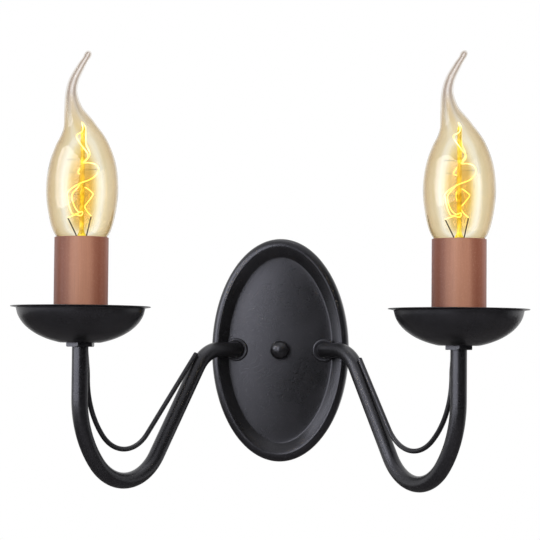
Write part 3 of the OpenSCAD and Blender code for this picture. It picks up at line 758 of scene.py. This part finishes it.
POWDER = powder_coat()
COPPER = copper_lacquer()
ZINC = plated_steel()
BRASS = machined_brass()
WHITE = moulded("White moulding", (0.78, 0.77, 0.72), (0.7, 0.69, 0.64), 0.42)
BROWN = moulded("Brown wire sleeve", (0.15, 0.062, 0.028), (0.1, 0.042, 0.02), 0.4)
BLUE = moulded("Blue wire sleeve", (0.05, 0.13, 0.38), (0.035, 0.095, 0.3), 0.4)
BLACK_GLASS = moulded("Black glass", (0.02, 0.02, 0.023), (0.035, 0.033, 0.035), 0.16)
GLASS = amber_glass()
STEM = lit_stem()
HOT = hot_wire()
LEAD = lead_wire()

TUBE_TREE = tube_tree()


# ---- the backplate and what stands on it
def oval(share, beyond, y, steps=288):
    """A ring round the plate, in from its edge by a share of the bead's width and a distance."""
    ring = []
    for k in range(steps):
        t = math.tau * k / steps
        inset = share * (BEAD_W + (BEAD_END_W - BEAD_W) * math.sin(t) ** 2) + beyond
        inward = -Vector((PLATE_B * math.cos(t), PLATE_A * math.sin(t))).normalized()
        across = PLATE_A * math.cos(t) + inset * inward.x
        ring.append((across, y, PLATE_B * math.sin(t) + inset * inward.y))
    return ring


# The rings of the domed face, as shares of the way from the plate's centre to the face's edge
DOME_SHARES = (0.9, 0.8, 0.7, 0.6, 0.5, 0.4, 0.3, 0.2, 0.12)


def domed(point, share, level):
    """A point of the face's edge drawn in towards the centre, over the face's slight dome."""
    return (point[0] * share, level - FACE_DOME * (1 - share**2), point[2] * share)


def bead(wall, steps=14):
    """The bead from the side wall over its crest and down a gentler slope to the face.

    The wall is 0 for the outer skin and the sheet's thickness for the inner one.
    """
    height = BEAD_H - wall
    line = []
    for i in range(steps):
        t = UPRIGHT * i / steps
        share = BEAD_CREST * (1 - math.cos(t))
        line.append((share, wall * math.cos(t), FACE_Y - height * math.sin(t)))
    for i in range(steps + 1):
        u = i / steps
        share = BEAD_CREST + (1 - BEAD_CREST) * u
        line.append((share, -wall * u, FACE_Y - height * (1 - u**SLOPE_CURVE)))
    return line


def hole_cutters(reach=6):
    """Rods through the face, where the tubes and the stud pass."""
    parts = []
    middle_y = FACE_Y + SHEET / 2
    for x, radius in [(-ARM_X, BORE_R), (ARM_X, BORE_R), (0.0, STUD_HOLE_R)]:
        outline = [(0, -reach), (radius, -reach), (radius, reach), (0, reach)]
        parts.append(moved(turned(outline, "cutter", steps=64), (x, middle_y, 0), True))
    return joined(parts, "cutters")


def dish_mesh():
    """The dish before its holes are cut: rings over the front, then back behind it.

    Each ring is a share of the bead's width, a distance beyond that, and a depth.
    """
    outer = [(0, 0.35, 0.0), (0, 0.1, -0.1), (0, 0.0, -0.4)] + bead(0)[:-1]
    face = [(1, -0.15, FACE_Y - 0.12), (1, 0.1, FACE_Y - 0.02), (1, 0.5, FACE_Y)]
    edge, back_edge = (1, 2.0, FACE_Y), (1, 2.0, BACK_Y)
    dome = [[domed(p, share, FACE_Y) for p in oval(*edge)] for share in DOME_SHARES]
    hollow = [[domed(p, share, BACK_Y) for p in oval(*back_edge)] for share in DOME_SHARES]
    inner = [(1, 0.0, BACK_Y)] + bead(SHEET)[-2:0:-1]
    inner += [(0, SHEET, FACE_Y), (0, SHEET, -0.3), (0, 0.8, 0.0)]
    front = [oval(*p) for p in outer + face + [edge]] + dome
    back = hollow[::-1] + [oval(*p) for p in [back_edge] + inner]
    rings = front + back
    count = len(rings[0])
    points = [p for ring in rings for p in ring]
    faces = []
    for i in range(len(rings)):
        if i != len(front) - 1:
            faces += band(i * count, ((i + 1) % len(rings)) * count, count)
    for first in ((len(front) - 1) * count, len(front) * count):
        faces.append(tuple(range(first, first + count)))
    return mesh_of(points, faces, "dish")


def backplate():
    """A pressed oval dish with a rolled bead, a slightly domed face and three holes."""
    dish = bpy.data.objects.new("dish", dish_mesh())
    cutter = bpy.data.objects.new("cutter", hole_cutters())
    for item in (dish, cutter):
        bpy.context.scene.collection.objects.link(item)
    cut = dish.modifiers.new("holes", "BOOLEAN")
    cut.operation = "DIFFERENCE"
    cut.object = cutter
    cut.solver = "EXACT"
    depsgraph = bpy.context.evaluated_depsgraph_get()
    cut_mesh = bpy.data.meshes.new_from_object(dish.evaluated_get(depsgraph))
    for item in (dish, cutter):
        bpy.data.objects.remove(item)
    piece = finished(cut_mesh, "pressed_backplate", "canopy", POWDER)
    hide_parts("backplate")


def collars():
    """The two collars round the arms' roots, each trimmed where it meets the bead."""
    top = (COLLAR_R, COLLAR_T, 0.75)
    inner_top = (BORE_R, COLLAR_T * 0.82, 0.12)
    outline = rounded([(BORE_R, 0, 0), (COLLAR_R, 0, 0), top, inner_top], steps=6)
    parts = []
    for side in SIDES.values():
        ring = moved(turned(outline, "collar", steps=96), (side * ARM_X, FACE_Y, 0), True)
        for vertex in ring.vertices:
            if side * vertex.co.x > COLLAR_CUT * MM:
                vertex.co.x = side * COLLAR_CUT * MM
        parts.append(ring)
    piece = finished(joined(parts, "collars"), "root_collars", "canopy", POWDER)
    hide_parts("arm_collars")


def knob(steps=40):
    """A ball knob on a short neck, with a blind thread that takes the stud."""
    centre = -low("canopy_knob").y + FACE_Y - KNOB_R
    meet = math.asin(KNOB_NECK_R / KNOB_R)
    outline = [(THREAD_R, 0.0), (KNOB_NECK_R - 0.3, 0.0), (KNOB_NECK_R, 0.3)]
    for i in range(steps + 1):
        t = meet + (math.pi - meet) * i / steps
        outline.append((KNOB_R * math.sin(t), centre - KNOB_R * math.cos(t)))
    thread_end = centre + THREAD_PAST_MIDDLE
    outline += [(0.0, thread_end), (THREAD_R, thread_end)]
    mesh = moved(turned(outline, "knob", steps=96), (0, FACE_Y - KNOB_SINK, 0), True)
    piece = finished(mesh, "ball_knob", "canopy_knob", POWDER)
    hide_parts("canopy_knob")


# ---- arms
def along(points, radius, material, sides, wall=0.0):
    """A wire or rod with closed ends along a line, or an open tube where a wall is given."""
    values = {"Radius": radius * MM, "Sides": sides, "Closed Ends": not wall}
    return grown(TUBE_TREE, line_mesh(points), {**values, "Material": material}, wall)


def arm_tube(name):
    mesh = along(arm_line(SIDES[name]), TUBE_R, POWDER, sides=48, wall=TUBE_WALL)
    piece = finished(mesh, name + "_bent_tube", "canopy", POWDER)
    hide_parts(name + "_arm_tube")


def brace_rod(name):
    mesh = along(rod_line(name), ROD_R, POWDER, sides=32)
    piece = finished(mesh, name + "_brace_rod", "canopy", POWDER)
    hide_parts(name + "_arm_rod")


# ---- drip pans and sleeves
def at_lamp(mesh, name, height=0.0):
    """Moves a mesh onto a lamp's axis."""
    return moved(mesh, (SIDES[name] * LAMP_X, LAMP_Y, height))


def bowl(radius, depth_axis, floor, steps=26):
    """The bowl's curved side from its flat floor up to the rim: part of an ellipse."""
    start = math.asin(min(1.0, (RIM_Z - floor) / depth_axis))
    line = []
    for i in range(steps + 1):
        t = start * (1 - i / steps)
        line.append((radius * math.cos(t), RIM_Z - depth_axis * math.sin(t)))
    return line


def drip_pan(name):
    """A spun bowl with a flat flange that thins to its edge."""
    depth = (RIM_Z - PAN_LOW) / math.sqrt(1 - (BOWL_FLOOR_R / BOWL_R) ** 2)
    under, inner_r = RIM_Z - PAN_SHEET, BOWL_R - PAN_SHEET
    outside = [p for p in bowl(BOWL_R, depth, PAN_LOW + 0.001)[:-1] if p[1] < under - 0.5]
    inside = bowl(inner_r, depth - PAN_SHEET, PAN_LOW + PAN_SHEET)[::-1]
    turn_out = [(BOWL_R - 0.02, under - 0.45), (BOWL_R + 0.12, under - 0.1), (BOWL_R + 0.5, under)]
    edge_low = RIM_Z - RIM_EDGE
    edge = [(FLANGE_R - 0.25, edge_low), (FLANGE_R - 0.06, edge_low + 0.08)]
    edge += [(FLANGE_R, RIM_Z - 0.2), (FLANGE_R - 0.06, RIM_Z - 0.07), (FLANGE_R - 0.25, RIM_Z)]
    turn_in = [(inner_r + 0.5, RIM_Z), (inner_r + 0.12, RIM_Z - 0.12)]
    outline = [(BORE_R, PAN_LOW)] + outside + turn_out + edge
    outline += turn_in + inside[1:] + [(BORE_R, PAN_LOW + PAN_SHEET)]
    mesh = at_lamp(turned(outline, "pan", steps=160), name)
    piece = finished(mesh, name + "_spun_pan", "canopy", POWDER)
    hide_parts(name + "_drip_pan")


def candle_sleeve(name):
    """A plain tube with softened edges."""
    inner = SLEEVE_R - SLEEVE_WALL
    foot = [(inner, SLEEVE_LOW, 0.1), (SLEEVE_R, SLEEVE_LOW, 0.12)]
    outline = rounded(foot + [(SLEEVE_R, SLEEVE_TOP, 0.25), (inner, SLEEVE_TOP, 0.2)])
    mesh = at_lamp(turned(outline, "sleeve", steps=144), name)
    piece = finished(mesh, name + "_copper_sleeve", "canopy", COPPER)
    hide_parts(name + "_candle_sleeve")


# ---- bulbs
# The glass, as shares of its own height and radius: height, sideways shift and radius
GLASS_ROWS = [
    (0, 0, 0.343), (0.045, 0, 0.463), (0.1, 0, 0.76), (0.19, 0, 0.92), (0.312, 0, 1),
    (0.435, 0, 0.935), (0.54, -0.006, 0.735), (0.62, -0.02, 0.475), (0.705, -0.0475, 0.27),
    (0.79, -0.0595, 0.172), (0.857, -0.0475, 0.137), (0.928, -0.012, 0.108),
    (0.962, 0.009, 0.09), (0.978, 0.0175, 0.102), (0.992, 0.0255, 0.08), (1, 0.03, 0.02),
]
# The stem: radius, and height over its foot, which stands a little over the glass's neck
STEM_ROWS = [
    (0, 0), (5, 0), (4.7, 1.4), (3.9, 3.2), (2.9, 5.4), (2.4, 7.8), (2.1, 9.3), (1.5, 10.6),
    (1.1, 12), (1.1, 30), (1.2, 31), (1.1, 32), (1.05, 61), (0.8, 61.9), (0.4, 62.3), (0, 62.4),
]
STEM_FOOT = 0.2


def smooth(rows, steps):
    """Catmull-Rom points between rows of numbers."""
    line = []
    last = len(rows) - 1
    for i in range(last):
        a, b, c, d = (Vector(rows[j]) for j in (max(i - 1, 0), i, i + 1, min(i + 2, last)))
        for k in range(steps):
            t = k / steps
            curve = (a - 2.5 * b + 2 * c - 0.5 * d) + t * (1.5 * b - 1.5 * c + 0.5 * d - 0.5 * a)
            line.append(b + t * ((c - a) / 2 + t * curve))
    return line + [Vector(rows[last])]


def glass_ring(line, i, thin, sides=96):
    """A ring of the glass, square to its bent axis and smaller than the outside by thin."""

    def spot(row):
        return Vector((row[1] * GLASS_H, 0, GLASS_LOW + row[0] * GLASS_H))

    axis = (spot(line[min(i + 1, len(line) - 1)]) - spot(line[max(i - 1, 0)])).normalized()
    across = Vector((axis.z, 0, -axis.x))
    radius = line[i][2] * GLASS_R - thin
    centre = spot(line[i])
    ring = []
    for k in range(sides):
        t = math.tau * k / sides
        ring.append(centre + radius * (math.cos(t) * across + math.sin(t) * Vector((0, 1, 0))))
    return ring


def bulb_glass(name):
    """A thin-walled glass, hollow up to its drawn tip."""
    line = smooth(GLASS_ROWS, steps=10)
    rings = []
    for i in range(int((len(line) - 1) * HOLLOW_SHARE), -1, -1):
        wall = min(GLASS_WALL, NECK_WALL_SHARE * line[i][2] * GLASS_R)
        rings.append(glass_ring(line, i, wall))
    rings += [glass_ring(line, i, 0) for i in range(len(line))]
    mesh = at_lamp(skin(rings, looped=False, name="glass"), name)
    piece = finished(mesh, name + "_blown_glass", name + "_bulb", GLASS, crease=60)
    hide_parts(name + "_bulb_glass")


def bulb_stem(name):
    """The pressed stem: a flare over the neck and a thin rod that carries the hooks."""
    outline = [(radius, GLASS_LOW + STEM_FOOT + height) for radius, height in STEM_ROWS]
    mesh = at_lamp(turned(outline, "stem", steps=48), name)
    piece = finished(mesh, name + "_glass_stem", name + "_bulb", STEM, crease=50)
    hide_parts(name + "_bulb_stem")


# The filament's points: sideways, forward and height over the glass's neck
FILAMENT = [
    (-6.7, -0.5, 17.8), (-2.7, -2.5, 19), (0.2, -3, 18.6), (0.6, -3, 20.6), (-3.4, -3, 19.2),
    (-5.4, -2.5, 21.8), (-6.9, -2, 28.5), (-6.4, -2.5, 30.4), (-3.4, -3.5, 32.6),
    (0.1, -3.5, 34.5), (4.4, -3, 36.2), (7.2, -1.5, 38.8), (7.9, 0, 41.6), (6.3, -1, 43.7),
    (3.3, -2.5, 44.3), (0.8, -3, 44.2), (1.6, -3, 45.2), (2.8, -2.5, 46.8), (2.6, -2, 49),
    (0.1, -1.8, 52.2), (-3, -1, 57.3), (-0.4, -1.6, 59.3), (0.2, -1.6, 61.2), (-0.6, 0, 64.2),
    (0.8, 1.6, 62.4), (1, 2, 59.6), (1.2, 2.2, 54), (3, 3, 49), (0, 3.2, 44.4), (-2.7, 3, 40.2),
    (-0.8, 2.8, 38.8), (-0.6, 3, 35.6), (-3.2, 3.4, 32.4), (-5.6, 3.4, 28.8), (-4, 3.6, 23),
    (-1, 3.6, 20.4), (1, 3.4, 24), (4.2, 2.6, 28), (4.7, 2, 30), (0.5, 3, 32.8),
    (-1.5, 3.4, 29), (1.5, 3, 22), (4.4, 0.5, 18.7),
]
# The hooks on the stem: how far each reaches sideways, and its height over the glass's neck
HOOKS = [(-7.6, 29), (-6.5, 39.5), (-7.8, 45.8), (3.8, 49), (7.4, 41)]
HOOK_ROOT, HOOK_FORWARD, HOOK_RISE = 1.05, -0.6, 0.3
# Where the two leads leave the stem's flare, and how far below the filament's ends they stop
LEAD_SPREAD, LEAD_LOW, LEAD_SHORT = 2.2, 8.5, 0.3


def filament(name):
    mesh = along(smooth(FILAMENT, steps=6), FILAMENT_R, HOT, sides=8)
    mesh = at_lamp(mesh, name, GLASS_LOW)
    piece = finished(mesh, name + "_hot_filament", name + "_bulb", HOT, crease=60)
    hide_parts(name + "_bulb_filament")


def lead_wires(name):
    """The two leads that carry the filament's ends, and the fine hooks that hold its loops."""
    parts = []
    for end in (FILAMENT[0], FILAMENT[-1]):
        foot = Vector((math.copysign(LEAD_SPREAD, end[0]), 0, LEAD_LOW))
        top = Vector(end) - Vector((0, 0, LEAD_SHORT))
        parts.append(along([foot, top], LEAD_R, LEAD, sides=8))
    for reach, height in HOOKS:
        root = (math.copysign(HOOK_ROOT, reach), 0, height)
        tip = (reach, HOOK_FORWARD, height + HOOK_RISE)
        parts.append(along([root, tip], HOOK_R, LEAD, sides=6))
    mesh = at_lamp(joined(parts, "leads"), name, GLASS_LOW)
    piece = finished(mesh, name + "_lead_wires", name + "_bulb", LEAD, crease=60)
    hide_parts(name + "_bulb_leads")


# ---- the CAD nodes that stay get their finishes
KEPT = {
    ZINC: ["mounting_bracket", "canopy_stud", "stud_nut", "arm_washers", "arm_nuts",
           "terminal_screws", "earth_stud", "pan_lock_nuts"],
    BRASS: ["bracket_earth_screw", "terminal_inserts", "earth_nut"],
    WHITE: ["terminal_block"],
    POWDER: ["pan_nuts"],
}
KEPT_EACH = {
    ZINC: ["socket_base", "bulb_cap", "bulb_contact"],
    BRASS: ["socket_thread", "centre_contact"],
    WHITE: ["socket_shell"],
    BROWN: ["live_wire"],
    BLUE: ["neutral_wire"],
    BLACK_GLASS: ["bulb_insulator"],
}


def finish_kept_nodes():
    rows = [(material, node) for material, nodes in KEPT.items() for node in nodes]
    for material, nodes in KEPT_EACH.items():
        rows += [(material, f"{name}_{node}") for name in SIDES for node in nodes]
    for material, node in rows:
        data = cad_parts[node].data
        data.materials.clear()
        data.materials.append(material)


# ---- studio, in metres and watts
# The floor's half width, its height, and the glow that the camera sees
FLOOR_HALF = 1.4
FLOOR_Z = -0.42
FLOOR_GLOW = 0.5
# The card's radius round the lamp, its edges, and its turn from straight ahead round to the right
CARD_R = 1.35
CARD_LOW, CARD_TOP = -0.41, 1.0
CARD_FROM, CARD_TURN = -8, 103
CARD_STEPS = 24
# What the lamps point at
AIM = Vector((0, -0.05, 0))
# The key lamp shows in gloss alone, and the main and fill lamps light the object without gloss
LAMPS = {
    "key": dict(
        place=(-0.62, -0.64, 0.28),
        size=(1.38, 0.8),
        power=19,
        colour=(0.94, 0.95, 1.0),
        diffuse=False,
    ),
    "main": dict(
        place=(0.0, -1.13, 0.35),
        size=(0.9, 0.7),
        power=14.5,
        colour=(0.97, 0.98, 1.0),
        glossy=False,
    ),
    "fill": dict(place=(0.85, -0.75, 0.25), size=(0.6, 0.8), power=5, glossy=False),
    "top": dict(place=(0.1, 0.1, 1.2), size=(0.9, 0.6), power=2),
}
# The viewpoint: where the lens stands in millimetres, how it looks in radians, and its length
EYE = Vector((56.67, -1031.66, -2.38))
YAW, PITCH, ROLL = -0.0613, 0.0443, 0.0086
LENS, SENSOR = 126.87, 36.0
NEAREST = 0.05


def staged(name, mesh, material):
    """Sets a piece of the studio in the scene."""
    mesh.materials.append(material)
    piece = bpy.data.objects.new(name, mesh)
    bpy.context.scene.collection.objects.link(piece)


def studio_floor():
    """A plain pale floor, darker in gloss, with a faint glow for the camera and through glass."""
    mesh = bpy.data.meshes.new("floor")
    spots = [(-1, -1), (1, -1), (1, 1), (-1, 1)]
    corners = [(x * FLOOR_HALF, y * FLOOR_HALF, FLOOR_Z) for x, y in spots]
    mesh.from_pydata(corners, [], [(0, 1, 2, 3)])
    look = Finish("Studio floor", Roughness=0.9, Emission_Color=(1, 1, 1, 1))
    cloud = look.use(CLOUD, Size=200 * MM)["Cloud"]
    plain = look.mix(cloud, (0.74, 0.74, 0.74), (0.78, 0.78, 0.78))
    look.feed("Base Color", look.mix(look.mirrored(), plain, (0.32, 0.3, 0.3)))
    path = put(look.tree, "ShaderNodeLightPath").outputs
    seen = look.combine(path["Is Camera Ray"], path["Is Transmission Ray"], "MAXIMUM")
    look.feed("Emission Strength", look.combine(seen, FLOOR_GLOW, "MULTIPLY"))
    staged("studio_floor", mesh, look.material)


def studio_world():
    """Plain white for the camera, gloss and glass, and a faint cool light for the rest."""
    world = bpy.data.worlds.new("studio")
    bpy.context.scene.world = world
    world.use_nodes = True
    tree = world.node_tree
    tree.nodes.clear()
    path = put(tree, "ShaderNodeLightPath").outputs
    seen = path["Is Camera Ray"]
    for ray in ("Is Glossy Ray", "Is Transmission Ray"):
        seen = put(tree, "ShaderNodeMath", {0: seen, 1: path[ray]}, operation="MAXIMUM").outputs[0]
    soft = put(tree, "ShaderNodeBackground", {"Color": (0.9, 0.93, 1.0, 1), "Strength": 0.12})
    white = put(tree, "ShaderNodeBackground", {"Color": (1, 1, 1, 1), "Strength": 1.0})
    both = put(tree, "ShaderNodeMixShader", {0: seen, 1: soft.outputs[0], 2: white.outputs[0]})
    out = put(tree, "ShaderNodeOutputWorld")
    tree.links.new(both.outputs[0], out.inputs["Surface"])


def softbox(name, place, size, power, colour=(1, 1, 1), glossy=True, diffuse=True):
    """A flat lamp aimed at the object, which gloss or plain surfaces may be kept from."""
    data = bpy.data.lights.new(name, "AREA")
    data.shape = "RECTANGLE"
    data.size, data.size_y = size
    data.energy = power
    data.color = colour
    lamp = bpy.data.objects.new(name, data)
    lamp.location = place
    lamp.rotation_euler = (AIM - Vector(place)).to_track_quat("-Z", "Y").to_euler()
    lamp.visible_glossy = glossy
    lamp.visible_diffuse = diffuse
    bpy.context.scene.collection.objects.link(lamp)


def studio_flag():
    """A grey card curved round the front and right, seen in gloss alone, which keeps it dark."""
    points = []
    for k in range(CARD_STEPS + 1):
        turn = math.radians(CARD_FROM + CARD_TURN * k / CARD_STEPS)
        for z in (CARD_LOW, CARD_TOP):
            points.append((CARD_R * math.sin(turn), -CARD_R * math.cos(turn), z))
    mesh = bpy.data.meshes.new("flag")
    faces = [(2 * k, 2 * k + 2, 2 * k + 3, 2 * k + 1) for k in range(CARD_STEPS)]
    mesh.from_pydata(points, [], faces)
    look = Finish("Grey card", Roughness=0.9, Specular_IOR_Level=0.0)
    cloud = look.use(CLOUD, Size=300 * MM)["Cloud"]
    look.feed("Base Color", look.mix(cloud, (0.12, 0.12, 0.12), (0.15, 0.15, 0.15)))
    clear = put(look.tree, "ShaderNodeBsdfTransparent").outputs[0]
    card = look.shader.outputs[0]
    both = put(look.tree, "ShaderNodeMixShader", {0: look.mirrored(), 1: clear, 2: card})
    out = look.tree.nodes["Material Output"].inputs["Surface"]
    look.tree.links.new(both.outputs[0], out)
    staged("studio_flag", mesh, look.material)


def camera():
    """The photograph's viewpoint: a long lens, a metre off and just under the arms."""
    data = bpy.data.cameras.new("camera")
    data.lens, data.sensor_width = LENS, SENSOR
    data.clip_start = NEAREST
    level = Vector((math.sin(YAW), math.cos(YAW), 0))
    forward = level * math.cos(PITCH) + Vector((0, 0, math.sin(PITCH)))
    right = Vector((math.cos(YAW), -math.sin(YAW), 0))
    up = right.cross(forward)
    across = math.cos(ROLL) * right + math.sin(ROLL) * up
    upright = math.cos(ROLL) * up - math.sin(ROLL) * right
    eye = bpy.data.objects.new("camera", data)
    turn = Matrix((across, upright, -forward)).transposed().to_4x4()
    eye.matrix_world = Matrix.Translation(EYE * MM) @ turn
    bpy.context.scene.collection.objects.link(eye)
    bpy.context.scene.camera = eye


camera()
studio_world()
studio_floor()
studio_flag()
for lamp_name, values in LAMPS.items():
    softbox(lamp_name, **values)
bpy.context.scene.view_settings.view_transform = "Standard"

backplate()
collars()
knob()
for side_name in SIDES:
    arm_tube(side_name)
    brace_rod(side_name)
    drip_pan(side_name)
    candle_sleeve(side_name)
    bulb_glass(side_name)
    bulb_stem(side_name)
    filament(side_name)
    lead_wires(side_name)
finish_kept_nodes()
